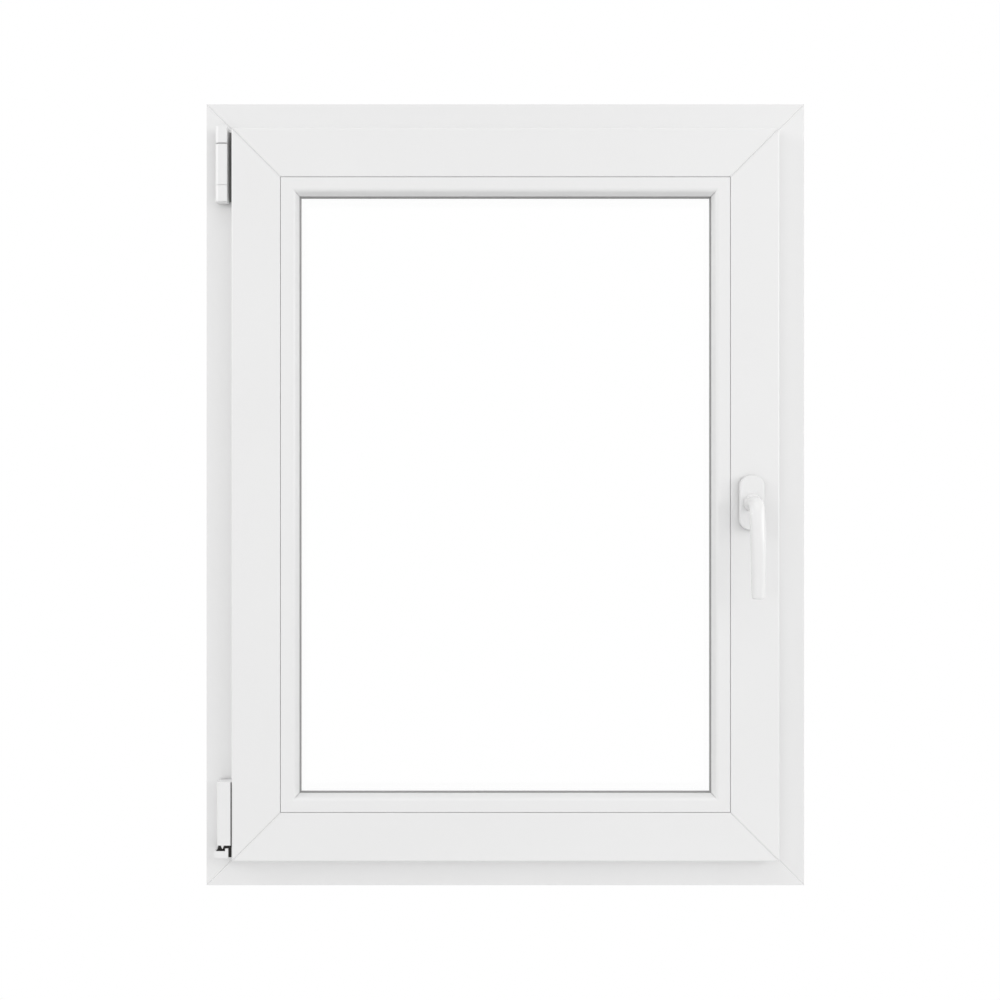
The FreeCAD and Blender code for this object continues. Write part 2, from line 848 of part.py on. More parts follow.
def handle_lever():
    """A round collar, a neck, an elbow and a grip of stadium section with an eased tip."""
    elbow_out = rosette_thickness + neck_length
    neck_start = rosette_thickness + neck_gap
    grip = flat_oval_bar(-grip_end, -elbow_radius)
    grip = grip.makeChamfer(grip_tip_bevel, [e for e in grip.Edges if e.BoundBox.ZMax < 0.01 - grip_end])
    grip.translate(Vector(0, -elbow_out - elbow_radius, 0))
    neck = flat_oval_bar(0, elbow_out - neck_start + neck_gap)
    neck.rotate(Vector(0, 0, 0), Vector(1, 0, 0), 90)
    neck.translate(Vector(0, neck_gap - neck_start, 0))
    end_face = [f for f in neck.Faces if f.CenterOfMass.y < 0.01 - elbow_out][0]
    elbow = end_face.revolve(Vector(0, -elbow_out, -elbow_radius), Vector(1, 0, 0), 90)
    lever = neck.fuse([elbow, grip]).removeSplitter()
    lever.translate(Vector(handle_x, sash_room_y, handle_height))
    collar = handle_cylinder(collar_radius, rosette_thickness - collar_inset + hinge_play, neck_start)
    rim = [e for e in collar.Edges if e.CenterOfMass.y < sash_room_y - rosette_thickness]
    collar = collar.makeChamfer(neck_gap / 2, rim)
    socket = spindle(rosette_thickness - collar_inset, rosette_thickness - collar_inset + spindle_in_lever)
    return lever.fuse(collar).cut(socket)


def spindle(start, end):
    half = spindle_side / 2
    return block(
        handle_x - half,
        handle_x + half,
        sash_room_y - end,
        sash_room_y - start,
        handle_height - half,
        handle_height + half,
    )


def handle_set():
    return {
        "rosette_base": rosette_base(),
        "rosette_cover": rosette_cover(),
        "handle_lever": handle_lever(),
        "handle_spindle": spindle(
            -spindle_in_sash, rosette_thickness - collar_inset + spindle_in_lever
        ),
    }


def main():
    os.makedirs("parts", exist_ok=True)
    for group in (frame_members, sash_members, beads, glazing, upper_hinge, lower_hinge, handle_set):
        for name, shape in group().items():
            valid = "valid" if shape.isValid() else "NOT VALID"
            print(f"{name}: {len(shape.Solids)} solid, {shape.Volume / 1000:.1f} cm3, {valid}")
            shape.exportStep(f"parts/{name}.step")


main()
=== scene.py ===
# %% [markdown]
# A white tilt and turn window
#
# The window's solids come from its CAD source: mitred hollow bars, glass, seals, hinges and a
# handle, each already in its place. This lesson gives every one of them its finish, models the
# moulded and cast pieces anew where a softer form shows, and sets up light and camera. Blender
# counts in metres, so MM stands before every size that is easier to read in millimetres.

import math

import bmesh
import bpy
from mathutils import Matrix, Vector


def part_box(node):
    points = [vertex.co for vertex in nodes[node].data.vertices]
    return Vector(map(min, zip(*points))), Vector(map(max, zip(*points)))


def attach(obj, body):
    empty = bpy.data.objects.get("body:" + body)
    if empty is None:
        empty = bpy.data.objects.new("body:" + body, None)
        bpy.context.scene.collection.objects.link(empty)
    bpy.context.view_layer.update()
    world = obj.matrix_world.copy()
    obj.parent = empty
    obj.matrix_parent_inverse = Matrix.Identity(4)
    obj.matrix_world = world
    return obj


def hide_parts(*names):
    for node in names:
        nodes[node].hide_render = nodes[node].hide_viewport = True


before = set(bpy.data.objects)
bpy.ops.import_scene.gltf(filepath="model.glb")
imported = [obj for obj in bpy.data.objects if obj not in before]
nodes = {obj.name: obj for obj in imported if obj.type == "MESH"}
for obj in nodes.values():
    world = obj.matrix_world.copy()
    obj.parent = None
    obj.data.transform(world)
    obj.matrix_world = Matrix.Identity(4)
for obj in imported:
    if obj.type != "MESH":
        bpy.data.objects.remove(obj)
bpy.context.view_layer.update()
MM = 0.001

# %% [markdown]
# Finishes as sums
#
# A finish is a small network of nodes that Blender evaluates at every point of a surface. Wiring
# them by hand hides the idea, so a socket is wrapped here in a class that knows plus, minus,
# times and abs. `1 - speckle * 0.2` then adds its own Math nodes, and reads like what it means.
# Every other node comes from one method, for a finish as for the studio's white surround.

# %% A socket that takes part in sums


class Signal:
    """One output of a node in a network."""

    def __init__(self, network, socket):
        self.network, self.socket = network, socket

    def _math(self, operation, a, b):
        return self.network.node("ShaderNodeMath", {"operation": operation}, {0: a, 1: b})

    def __add__(self, other):
        return self._math("ADD", self, other)

    def __sub__(self, other):
        return self._math("SUBTRACT", self, other)

    def __rsub__(self, other):
        return self._math("SUBTRACT", other, self)

    def __mul__(self, other):
        return self._math("MULTIPLY", self, other)

    def __abs__(self):
        return self.network.node("ShaderNodeMath", {"operation": "ABSOLUTE"}, {0: self})

    __radd__, __rmul__ = __add__, __mul__


# %% A network and the method that adds its nodes


class Network:
    """The nodes of a finish or of the surround."""

    def __init__(self, tree):
        self.tree = tree

    def node(self, kind, settings=None, sockets=None, output=0):
        """Adds a node: first its settings, then each socket's value or link."""
        made = self.tree.nodes.new(kind)
        for name, value in (settings or {}).items():
            setattr(made, name, value)
        for name, value in (sockets or {}).items():
            self.feed(made.inputs[name], value)
        return Signal(self, made.outputs[output])

    def feed(self, socket, value):
        if isinstance(value, Signal):
            self.tree.links.new(value.socket, socket)
        else:
            socket.default_value = value

    def ramp(self, value, start, end, first, last):
        """first up to start, last from end on, and a straight slope between."""
        ends = {1: start, 2: end, 3: first, 4: last}
        return self.node("ShaderNodeMapRange", {"clamp": True}, {"Value": value, **ends})


# %% A finish


class Finish(Network):
    """A material around one Principled shader. Constants go straight on the shader's sockets."""

    def __init__(self, name, **constants):
        self.material = bpy.data.materials.new(name)
        self.material.use_nodes = True
        super().__init__(self.material.node_tree)
        self.shader = self.tree.nodes["Principled BSDF"]
        for socket, value in constants.items():
            self.shader.inputs[socket.replace("_", " ")].default_value = value
        self.place = self.node("ShaderNodeTexCoord", output="Object")

    def axes(self):
        """The place on the surface as its three distances: X, Y and Z."""
        return (
            self.node("ShaderNodeSeparateXYZ", None, {0: self.place}, output=i) for i in range(3)
        )

    def noise(self, per_metre, detail=2.0):
        """Soft noise from 0 to 1. per_metre counts its features: one number, or X, Y and Z."""
        counts = (per_metre,) * 3 if isinstance(per_metre, float) else per_metre
        stretched = self.node(
            "ShaderNodeVectorMath", {"operation": "MULTIPLY"}, {0: self.place, 1: counts}
        )
        return self.node(
            "ShaderNodeTexNoise", None, {"Vector": stretched, "Scale": 1.0, "Detail": detail}
        )

    def blend(self, factor, first, second):
        """A colour between two, by a factor from 0 to 1."""
        return self.node(
            "ShaderNodeMix", {"data_type": "RGBA"}, {0: factor, 6: first, 7: second}, output=2
        )

    def surface(self, colour=None, roughness=None, height=None, relief=0.0):
        """Feeds what varies: colour, roughness, and a height from 0 to 1 as relief in metres."""
        if colour is not None:
            self.feed(self.shader.inputs["Base Color"], colour)
        if roughness is not None:
            self.feed(self.shader.inputs["Roughness"], roughness)
        if height is not None:
            bump = self.node(
                "ShaderNodeBump", None, {"Distance": relief, "Height": height}, output="Normal"
            )
            self.feed(self.shader.inputs["Normal"], bump)
        return self


def grey(level, warmth=0.0):
    """A near-neutral colour with a little more red and less blue when warm."""
    return (level + warmth, level, level - warmth, 1.0)


# %% [markdown]
# White PVC profile
#
# The bars are extruded: white PVC is pushed through a steel die, which leaves very fine lines
# along the bar, and the cooled skin keeps a satin gloss with a faint waviness. Lines need a
# direction, so the same recipe makes one finish for level bars and one for upright bars. Noise
# stretched a thousand times further along the bar than across it gives the lines; a bump of a
# few hundredths of a millimetre is enough to break up the gloss as the real skin does.
#
# The sash is welded at its corners and the weld is scraped flush, which leaves a slightly darker
# line. The beads are cut at 45 degrees and only pushed together, so a shadow falls in the gap
# where their noses meet, and the finish paints that shadow as a dark line. Both lines lie on the
# diagonals of the corners: the distance from a diagonal is the difference between the distances
# along x and z, which is a sum that the finish can do itself.

# %% The profile's finish, level and upright
PROFILE_WHITE, WHITE_SPREAD, MITRE_GREY = 0.815, 0.012, 0.30
LINES_ALONG, LINES_ACROSS = 0.8, 900.0


def profile_finish(name, along, mitre=None):
    """mitre darkens the cut corners, by the last six arguments of mitre_line: a darker weld on the
    sash, painted shadow in the gap on the beads.
    """
    finish = Finish(name, IOR=1.52)
    lines = finish.noise(
        tuple(LINES_ALONG if axis == along else LINES_ACROSS for axis in "XYZ"), detail=3.0
    )
    waviness = finish.noise(90.0)
    handling = finish.noise(7.0, detail=4.0)
    dull, bright = grey(PROFILE_WHITE - WHITE_SPREAD, 0.001), grey(PROFILE_WHITE + WHITE_SPREAD)
    colour = finish.blend(handling, dull, bright)
    if mitre:
        colour = finish.blend(mitre_line(finish, *mitre), colour, grey(MITRE_GREY))
    roughness = 0.30 + handling * 0.08 + lines * 0.06
    return finish.surface(colour, roughness, lines * 0.3 + waviness * 0.7, relief=0.04 * MM)


# %% The line at a mitred corner
MITRE_FADE = 3 * MM


def mitre_line(finish, corner_x, low_z, high_z, half_width, from_y, share):
    """share on the four corners' diagonals, fading to 0 beside them and in front of from_y."""
    x, y, z = finish.axes()
    half_height = (high_z - low_z) / 2
    sideways = abs(x) - corner_x
    upwards = abs(z - (low_z + half_height)) - half_height
    beside = abs(sideways - upwards) * math.sqrt(0.5)
    on_line = finish.ramp(beside, 0.0, half_width, share, 0.0)
    return on_line * finish.ramp(y, from_y, from_y + MITRE_FADE, 0.0, 1.0)


sash_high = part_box("sash_top_rail")[1]
sash_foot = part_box("sash_bottom_rail")[0]
sash_corner = (sash_high.x, sash_foot.z, sash_high.z)
WELD_HALF_WIDTH, WELD_SHARE = 2.4 * MM, 0.09
sash_mitre = (*sash_corner, WELD_HALF_WIDTH, sash_foot.y - MITRE_FADE, WELD_SHARE)
# On the beads the dark line is painted shadow, the shade in the gap of their cut, from just behind
# their face on.
BEAD_GAP_SHADOW_HALF_WIDTH, BEAD_GAP_SHADOW_SHARE, BEAD_GAP_SHADOW_DEPTH = 1.1 * MM, 0.55, 0.8 * MM
bead_face_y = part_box("glazing_bead_top")[0].y
bead_gap_painted_shadow = (*sash_corner, BEAD_GAP_SHADOW_HALF_WIDTH, bead_face_y + BEAD_GAP_SHADOW_DEPTH, BEAD_GAP_SHADOW_SHARE)

profile_level = profile_finish("white_profile_level", "X")
profile_upright = profile_finish("white_profile_upright", "Z")
sash_level = profile_finish("white_sash_level", "X", sash_mitre)
sash_upright = profile_finish("white_sash_upright", "Z", sash_mitre)
bead_level = profile_finish("white_bead_level", "X", bead_gap_painted_shadow)
bead_upright = profile_finish("white_bead_upright", "Z", bead_gap_painted_shadow)
print("six profile finishes, sash corner at", [round(v / MM, 1) for v in sash_corner])

# %% [markdown]
# Moulded covers, and the powder coat of the handle
#
# Hinge covers and the handle's plate are injection moulded in a steel mould that was spark
# eroded, so their skin is a very fine, even grain, a touch glossier than the bars. The lever is
# cast metal under powder paint: the powder melts into a skin with a soft orange-peel ripple of
# one to two millimetres, under a clear gloss. All are nearly as white as the bars, so a plain
# colour would make them look like one piece with them. A fine noise as bump gives the covers
# their grain, a coarser one gives the lever its ripple, and the shader's coat is the gloss.

# %% Moulded covers
moulded = Finish("moulded_white_cover", IOR=1.5)
grain = moulded.noise(1500.0, detail=1.0)
tone = moulded.noise(30.0)
moulded.surface(
    moulded.blend(tone, grey(0.805), grey(0.825)),
    0.27 + grain * 0.10 + tone * 0.05,
    grain,
    relief=0.01 * MM,
)

# %% Powder-coated lever, and the base of its plate
powder = Finish("powder_coated_white", Coat_Roughness=0.15, IOR=1.5)
peel = powder.noise(650.0)
wear = powder.noise(45.0, detail=3.0)
powder.surface(
    powder.blend(wear, grey(0.805, 0.002), grey(0.825, 0.001)),
    0.20 + wear * 0.10,
    peel,
    relief=0.03 * MM,
)
powder.feed(powder.shader.inputs["Coat Weight"], 0.14 + wear * 0.1)

# The base's near-black colour is painted shade: it shows as the shade in the gap under the plate.
plate_base_dark_as_shade = Finish("plate_base_painted_dark_as_shade")
speck = plate_base_dark_as_shade.noise(900.0)
plate_base_dark_as_shade.surface(
    plate_base_dark_as_shade.blend(speck, grey(0.10), grey(0.14)),
    0.45 + speck * 0.15,
    speck,
    relief=0.02 * MM,
)
print("moulded, powder coat and base plastic are ready")

# %% [markdown]
# Rubber, metal and glass
#
# The seals are grey rubber with a dull, slightly dusty skin. The hinge metal is coloured nearly
# black below and dark grey above: that dark colour is painted shade, so the metal reads as the
# shade in the gaps round the hinges. The spacer inside the double glazing is bright aluminium,
# pierced along its middle so that the drying agent in it reaches the air. The holes could be cut
# into its mesh, but there are hundreds of them, each little more than a millimetre wide, so the
# finish paints each as a dark spot, painted shade inside the hole, at every step of their pitch.
#
# Float glass is clear, with a very thin film of dust that comes and goes. The shader's
# transmission lets the background through it. Its index is set lower than real glass has: two
# panes at 1.52 bend the view beside the beads so far that the dark edge seals show as a grey
# band, and a lower index lets white reach right up to the rubber, as it does in daylight.

# %% Rubber and the black sealant round the double glazing
rubber = Finish("grey_rubber", IOR=1.45)
dust = rubber.noise(120.0, detail=4.0)
pores = rubber.noise(2200.0, detail=1.0)
rubber.surface(
    rubber.blend(dust, grey(0.28), grey(0.34, 0.002)),
    0.55 + dust * 0.2,
    pores,
    relief=0.03 * MM,
)

sealant = Finish("black_glazing_sealant")
smear = sealant.noise((60.0, 260.0, 60.0), detail=3.0)
sealant.surface(
    sealant.blend(smear, grey(0.018), grey(0.035)),
    0.40 + smear * 0.25,
    smear,
    relief=0.2 * MM,
)

# %% Hinge metal, coloured nearly black below and dark grey above as painted shade in the gaps


# Painted shade: the dark and light colours make the hinge metal read as the shade in its gaps.
def dark_metal_as_gap_shade(name, dark, light):
    finish = Finish(name, Metallic=0.85)
    mottle = finish.noise(260.0, detail=4.0)
    rolled = finish.noise((1800.0, 1800.0, 90.0))
    colour = finish.blend(mottle, grey(dark), grey(light, 0.002))
    return finish.surface(colour, 0.38 + mottle * 0.22, rolled, relief=0.02 * MM)


steel = dark_metal_as_gap_shade("steel_painted_black_as_gap_shade", 0.018, 0.035)
zinc = dark_metal_as_gap_shade("zinc_painted_dark_as_gap_shade", 0.22, 0.30)

# %% Aluminium spacer with its row of piercings
spacer_low, spacer_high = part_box("glass_spacer")
PIERCING_PITCH, PIERCING_RADIUS = 3 * MM, 0.6 * MM

spacer = Finish("pierced_aluminium_spacer", Metallic=1.0)
brushed = spacer.noise((500.0, 2500.0, 500.0))
x, y, z = spacer.axes()


def piercing(along):
    """1 inside a round piercing on the spacer's middle line, 0 outside."""
    half_pitch = PIERCING_PITCH / 2
    off_step = spacer.node("ShaderNodeMath", {"operation": "PINGPONG"}, {0: along, 1: half_pitch})
    off_middle = y - (spacer_low.y + spacer_high.y) / 2
    square = off_step * off_step + off_middle * off_middle
    return spacer.node(
        "ShaderNodeMath", {"operation": "LESS_THAN"}, {0: square, 1: PIERCING_RADIUS**2}
    )


# Each hole is painted near black, painted shade inside it, and dented into the relief.
holes_painted_dark = piercing(x) * 0.5 + piercing(z) * 0.5
spacer.surface(
    spacer.blend(holes_painted_dark, grey(0.72), grey(0.04)),
    0.30 + brushed * 0.15,
    brushed - holes_painted_dark,
    relief=0.04 * MM,
)

# %% Float glass
GLASS_INDEX = 1.2
glass = Finish("float_glass", Transmission_Weight=1.0, IOR=GLASS_INDEX)
film = glass.noise(9.0, detail=3.0)
glass.surface(glass.blend(film, (0.999, 1.0, 0.9995, 1.0), (1.0, 1.0, 1.0, 1.0)), film * 0.004)
print("rubber, sealant, steel, spacer and glass are ready")

# %% [markdown]
# Dressing the solids
#
# Every solid from the source gets one of these finishes. Its mesh stays untouched: only the
# material slot is set. Level and upright bars are told apart by which side of their box is longer.

# %% Give each solid its finish
BY_PART = {
    "drain_cap": moulded,
    "glass_pane": glass,
    "glass_spacer": spacer,
    "glass_edge_seal": sealant,
    "glazing_seal": rubber,
    "sash_seal": rubber,
    "frame_seal": rubber,
    "stay_bracket": zinc,
    "stay_arm": zinc,
    "stay_pin": steel,
    "corner_hinge_cover": moulded,
    "corner_hinge": steel,
    "pivot_rest": steel,
    "pivot_cap": moulded,
    "rosette_base": plate_base_dark_as_shade,
    "handle_spindle": steel,
}


def finish_for(name):
    """By the start of the solid's name, and for a bar by its direction too."""
    for start, finish in BY_PART.items():
        if name.startswith(start):
            return finish
    low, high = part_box(name)
    is_level = high.x - low.x > high.z - low.z
    if name.startswith("sash"):
        return sash_level if is_level else sash_upright
    if name.startswith("glazing_bead"):
        return bead_level if is_level else bead_upright
    return profile_level if is_level else profile_upright


for name, node in nodes.items():
    node.data.materials.clear()
    node.data.materials.append(finish_for(name).material)
print(sorted({finish.material.name for finish in BY_PART.values()}))

# %% [markdown]
# Helpers for modelling
#
# New pieces start as a circle, a box or a short line and are shaped by bmesh operators. One
# helper turns a line round an axis like a lathe, and one closes the work: it makes the faces
# point outwards, keeps crisp edges crisp, and hands the piece to the body it moves with.

# %% Close a piece
TOUCH = 0.01 * MM


def finished(name, bm, finish, body, stands_for=(), crisp=35):
    """Makes the piece. An edge stays sharp where its faces turn by more than crisp degrees."""
    bmesh.ops.remove_doubles(bm, verts=bm.verts, dist=TOUCH)
    bmesh.ops.recalc_face_normals(bm, faces=bm.faces)
    mesh = bpy.data.meshes.new(name)
    bm.to_mesh(mesh)
    bm.free()
    mesh.shade_smooth()
    mesh.set_sharp_from_angle(angle=math.radians(crisp))
    mesh.materials.append(finish.material)
    piece = bpy.data.objects.new(name, mesh)
    bpy.context.scene.collection.objects.link(piece)
    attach(piece, body)
    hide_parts(*stands_for)
    print(f"{name}: {len(mesh.polygons)} faces")
    return piece


# %% Turn a line round an axis, as on a lathe


def turned(bm, line, centre, axis, steps):
    """line lists (radius, height along the axis), from the axis out and back to it."""
    along = Vector(axis)
    across = along.orthogonal().normalized()
    points = [bm.verts.new(centre + across * r + along * h) for r, h in line]
    edges = [bm.edges.new(pair) for pair in zip(points, points[1:])]
    bmesh.ops.spin(
        bm,
        geom=points + edges,
        cent=centre,
        axis=along,
        angle=math.tau,
        steps=steps,
        use_merge=True,
    )


# %% [markdown]
# The lever
#
# The handle is one casting: a round collar in the plate, a short neck, an elbow and a flat oval
# grip that narrows slightly to a soft end. It could be carved from a box, but a casting like this
# is a section that travels, so a ring of points is pushed outwards, spun through the elbow and
# pushed down the grip, changing size on the way. The elbow doesn't end at once: a second spin of
# large radius lets the grip bow a little, and that slow curve is what shortens its highlight. A
# subdivision surface then rounds the skin.

# %% Sizes of the lever, read from the solid it stands for
plate_low, plate_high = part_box("rosette_cover")
lever_low, lever_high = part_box("handle_lever")
pivot = Vector(((plate_low.x + plate_high.x) / 2, 0, (plate_low.z + plate_high.z) / 2))
collar_radius = lever_high.z - pivot.z
COLLAR_RISE, NECK_SUNK = 1.2 * MM, 0.6 * MM
GRIP_RADIUS, GRIP_FLAT, GRIP_MARGIN = 7.2 * MM, 1.8 * MM, 0.15 * MM
ELBOW_RADIUS, BOW_RADIUS = 15 * MM, 210 * MM
ELBOW_TURN = math.radians(78)
BOW_TURN = math.radians(90) - ELBOW_TURN
grip_y = lever_low.y + GRIP_RADIUS + GRIP_MARGIN
elbow_y = grip_y + BOW_RADIUS - (BOW_RADIUS - ELBOW_RADIUS) * math.sin(ELBOW_TURN)
collar_face_y = plate_low.y - COLLAR_RISE
print("collar radius", round(collar_radius / MM, 2), "grip plane", round(grip_y / MM, 1))


# %% Push the section, and turn a circle to the room


def facing_room(place):
    """Stands a lying circle upright at this place, facing the room."""
    return Matrix.Translation(place) @ Matrix.Rotation(math.radians(90), 4, "X")


def shift_ring(bm, ring, move, scale, about):
    """Extrudes a ring of edges, moves it, and resizes it about its middle. Returns the ring."""
    made = bmesh.ops.extrude_edge_only(bm, edges=ring)["geom"]
    verts = [e for e in made if isinstance(e, bmesh.types.BMVert)]
    bmesh.ops.translate(bm, verts=verts, vec=move)
    bmesh.ops.scale(bm, verts=verts, vec=scale, space=Matrix.Translation(-(about + Vector(move))))
    return [e for e in made if isinstance(e, bmesh.types.BMEdge)]


# %% The neck, out to the elbow
# How much wider and taller the neck's foot is than the grip's section.
NECK_FOOT = (1.12, 1, 1.38)
# Each step: how far out in mm, and how the section's width and height change.
NECK_STEPS = ((1.8, 0.975, 0.93), (3.0, 0.97, 0.89), (4.5, 0.975, 0.925), (4.5, 0.99, 0.965))
SECTION_POINTS = 24

bm = bmesh.new()
start = Vector((pivot.x, collar_face_y + NECK_SUNK, pivot.z))
bmesh.ops.create_circle(
    bm, cap_ends=False, radius=GRIP_RADIUS, segments=SECTION_POINTS, matrix=facing_room(start)
)
for side in (-1, 1):
    half = [v for v in bm.verts if side * (v.co.x - pivot.x) > 10 * TOUCH]
    bmesh.ops.translate(bm, verts=half, vec=(side * GRIP_FLAT, 0, 0))
ring = list(bm.edges)
bmesh.ops.scale(bm, verts=bm.verts, vec=NECK_FOOT, space=Matrix.Translation(-start))
bmesh.ops.contextual_create(bm, geom=ring)
here = start.copy()
for out, wide, tall in NECK_STEPS:
    move = Vector((0, -out * MM, 0))
    ring = shift_ring(bm, ring, move, (wide, 1, tall), here)
    here += move
ring = shift_ring(bm, ring, Vector((0, elbow_y - here.y, 0)), (1, 1, 1), here)
print("neck of", len(bm.faces), "faces")

# %% Elbow, bow and grip
# Each step: its share of the grip's length, and how the section's width and depth change.
GRIP_STEPS = (
    (0.16, 0.98, 0.975),
    (0.25, 0.96, 0.95),
    (0.3, 0.95, 0.94),
    (0.205, 0.965, 0.95),
    (0.045, 0.965, 0.95),
    (0.024, 0.93, 0.9),
    (0.012, 0.86, 0.8),
    (0.004, 0.55, 0.5),
)
ELBOW_STEPS, BOW_STEPS = 7, 4

elbow_centre = Vector((pivot.x, elbow_y, pivot.z - ELBOW_RADIUS))
outwards = Vector((0, -math.sin(ELBOW_TURN), math.cos(ELBOW_TURN)))
bow_centre = elbow_centre - outwards * (BOW_RADIUS - ELBOW_RADIUS)
elbow, bow = (elbow_centre, ELBOW_TURN, ELBOW_STEPS), (bow_centre, BOW_TURN, BOW_STEPS)
for centre, turn, steps in (elbow, bow):
    spun = bmesh.ops.spin(bm, geom=ring, cent=centre, axis=(1, 0, 0), angle=turn, steps=steps)
    ring = [e for e in spun["geom_last"] if isinstance(e, bmesh.types.BMEdge)]
here = Vector((pivot.x, grip_y, bow_centre.z))
grip_length = here.z - lever_low.z
for share, wide, deep in GRIP_STEPS:
    move = Vector((0, 0, -share * grip_length))
    ring = shift_ring(bm, ring, move, (wide, deep, 1), here)
    here += move
bmesh.ops.contextual_create(bm, geom=ring)
lever = finished("lever", bm, powder, "handle", ["handle_lever"], crisp=180)
smoothing = lever.modifiers.new("rounded_skin", "SUBSURF")
smoothing.levels = smoothing.render_levels = 2

# %% [markdown]
# Collar and plate
#
# The collar is turned, so it is spun from its half outline. The plate is a shallow moulded cap:
# a box with its four corners well rounded, a softened rim, a round hole for the collar, and a
# wall of 1.5 mm that a Solidify modifier gives inwards from the outer skin. It clips over a base
# and ends just short of the stile; the base is coloured near black as painted shade, so the gap
# draws the thin dark line of shade round the plate.

# %% The collar
COLLAR_RIM, RIM_STEPS = 0.6 * MM, 5


def rounded_rim(radius, height, fillet):
    """The quarter circle from a turned piece's side to its end at this height."""
    turns = [math.radians(90 * i / RIM_STEPS) for i in range(RIM_STEPS + 1)]
    middle = (radius - fillet, height + fillet)
    return [(middle[0] + fillet * math.cos(a), middle[1] - fillet * math.sin(a)) for a in turns]


bm = bmesh.new()
half_outline = [
    (0, lever_high.y),
    (collar_radius, lever_high.y),
    *rounded_rim(collar_radius, collar_face_y, COLLAR_RIM),
    (0, collar_face_y),
]
turned(bm, half_outline, pivot, axis=(0, 1, 0), steps=48)
finished("lever_collar", bm, powder, "handle")

# %% A box, its edges and their rounding
# From this cosine on, a direction counts as along an axis.
ALIGNED = 0.999


def box_between(bm, low, high):
    """A box on two corners, from the one-metre cube."""
    made = bmesh.ops.create_cube(bm, size=1.0)["verts"]
    bmesh.ops.scale(bm, verts=made, vec=high - low)
    bmesh.ops.translate(bm, verts=made, vec=(low + high) / 2)


def edges_where(bm, test):
    """The edges whose two ends both pass a test on their place."""
    return [e for e in bm.edges if all(test(v.co) for v in e.verts)]


def runs_along(edge, axis):
    difference = edge.verts[0].co - edge.verts[1].co
    return abs(difference[axis]) > ALIGNED * difference.length


def soften(bm, edges, size, segments):
    bmesh.ops.bevel(
        bm, geom=edges, offset=size, affect="EDGES", segments=segments, profile=0.5, material=-1
    )


# %% A wall for a moulded skin


def give_wall(piece, thickness):
    """A wall grown inwards from the outer skin, with flat faces shaded flat up to their rounds."""
    wall = piece.modifiers.new("moulded_wall", "SOLIDIFY")
    wall.thickness, wall.offset, wall.use_even_offset = thickness, -1.0, True
    normals = piece.modifiers.new("even_shading", "WEIGHTED_NORMAL")
    normals.keep_sharp = True


# %% The plate
PLATE_CORNER, PLATE_RIM, PLATE_WALL = 13 * MM, 1.2 * MM, 1.5 * MM
SHADOW_GAP, COLLAR_PLAY = 2.4 * MM, 0.15 * MM

bm = bmesh.new()
box_between(bm, plate_low, plate_high - Vector((0, SHADOW_GAP, 0)))
soften(bm, [e for e in bm.edges if runs_along(e, 1)], PLATE_CORNER, segments=12)
soften(bm, edges_where(bm, lambda p: p.y < plate_low.y + TOUCH), PLATE_RIM, segments=4)
ends = [f for f in bm.faces if abs(f.normal.y) > ALIGNED]
bmesh.ops.delete(bm, geom=ends, context="FACES_ONLY")
rim = edges_where(bm, lambda p: p.y < plate_low.y + TOUCH)
hole = bmesh.ops.create_circle(
    bm,
    cap_ends=False,
    radius=collar_radius + COLLAR_PLAY,
    segments=40,
    matrix=facing_room((pivot.x, plate_low.y, pivot.z)),
)["verts"]
hole_edges = [e for e in bm.edges if e.verts[0] in hole and e.verts[1] in hole]
bmesh.ops.triangle_fill(bm, edges=rim + hole_edges, use_beauty=True)
plate = finished("handle_plate", bm, moulded, "window", ["rosette_cover"])
give_wall(plate, PLATE_WALL)

# %% [markdown]
# Hinge covers
#
# Three moulded covers in a row hide the upper hinge, and one tall cover the lower one. All are
# flat towards the room, well rounded on the side away from the sash and nearly square beside it,
# and open at the back, where the metal is. Their outline could be drawn and pushed upwards, but
# their ends are rounded too, so each starts as a box: its front edges are bevelled by different
# amounts, its open sides are deleted, and Solidify gives the rest a wall.

# %% The four covers
COVER_WALL = 1.4 * MM
UPPER_ROUND, LOWER_ROUND, SASH_SIDE_ROUND = 6.0 * MM, 4.5 * MM, 0.8 * MM
TOP_END_ROUND, BOTTOM_END_ROUND, LOWER_END_ROUND = 0.7 * MM, 1.2 * MM, 0.6 * MM
WIDER, JOINT_DOWN, JOINT_OPEN = 0.6 * MM, 0.25 * MM, 0.45 * MM


def front_edge(bm, x, y):
    """The upright edge of a box at this side and depth."""
    return edges_where(bm, lambda p: abs(p.x - x) < TOUCH and p.y < y + TOUCH)


def hinge_cover(name, low, high, outer_round, end_rounds, stands_for):
    """end_rounds holds the rounding of the lower and upper end, or None for an open end."""
    bm = bmesh.new()
    box_between(bm, low, high)
    soften(bm, front_edge(bm, low.x, low.y), outer_round, segments=8)
    soften(bm, front_edge(bm, high.x, low.y), SASH_SIDE_ROUND, segments=3)
    is_open = [f for f in bm.faces if f.normal.y > ALIGNED]
    for way, size in zip((-1, 1), end_rounds):
        if size is None:
            is_open += [f for f in bm.faces if f.normal.z * way > ALIGNED]
    bmesh.ops.delete(bm, geom=is_open, context="FACES")
    for z, size in zip((low.z, high.z), end_rounds):
        if size is not None:
            rim = edges_where(bm, lambda p: abs(p.z - z) < TOUCH)
            soften(bm, [e for e in rim if len(e.link_faces) == 2], size, segments=4)
    cover = finished(name, bm, moulded, "window", [stands_for])
    give_wall(cover, COVER_WALL)


def upper_cover(name, solid, end_rounds, down=0.0, lower_top=0.0):
    """A cover over this solid, a little wider to the sash, with its two ends moved down."""
    low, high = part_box(solid)
    low, high = low - Vector((0, 0, down)), high + Vector((WIDER, 0, -lower_top))
    hinge_cover(name, low, high, UPPER_ROUND, end_rounds, solid)


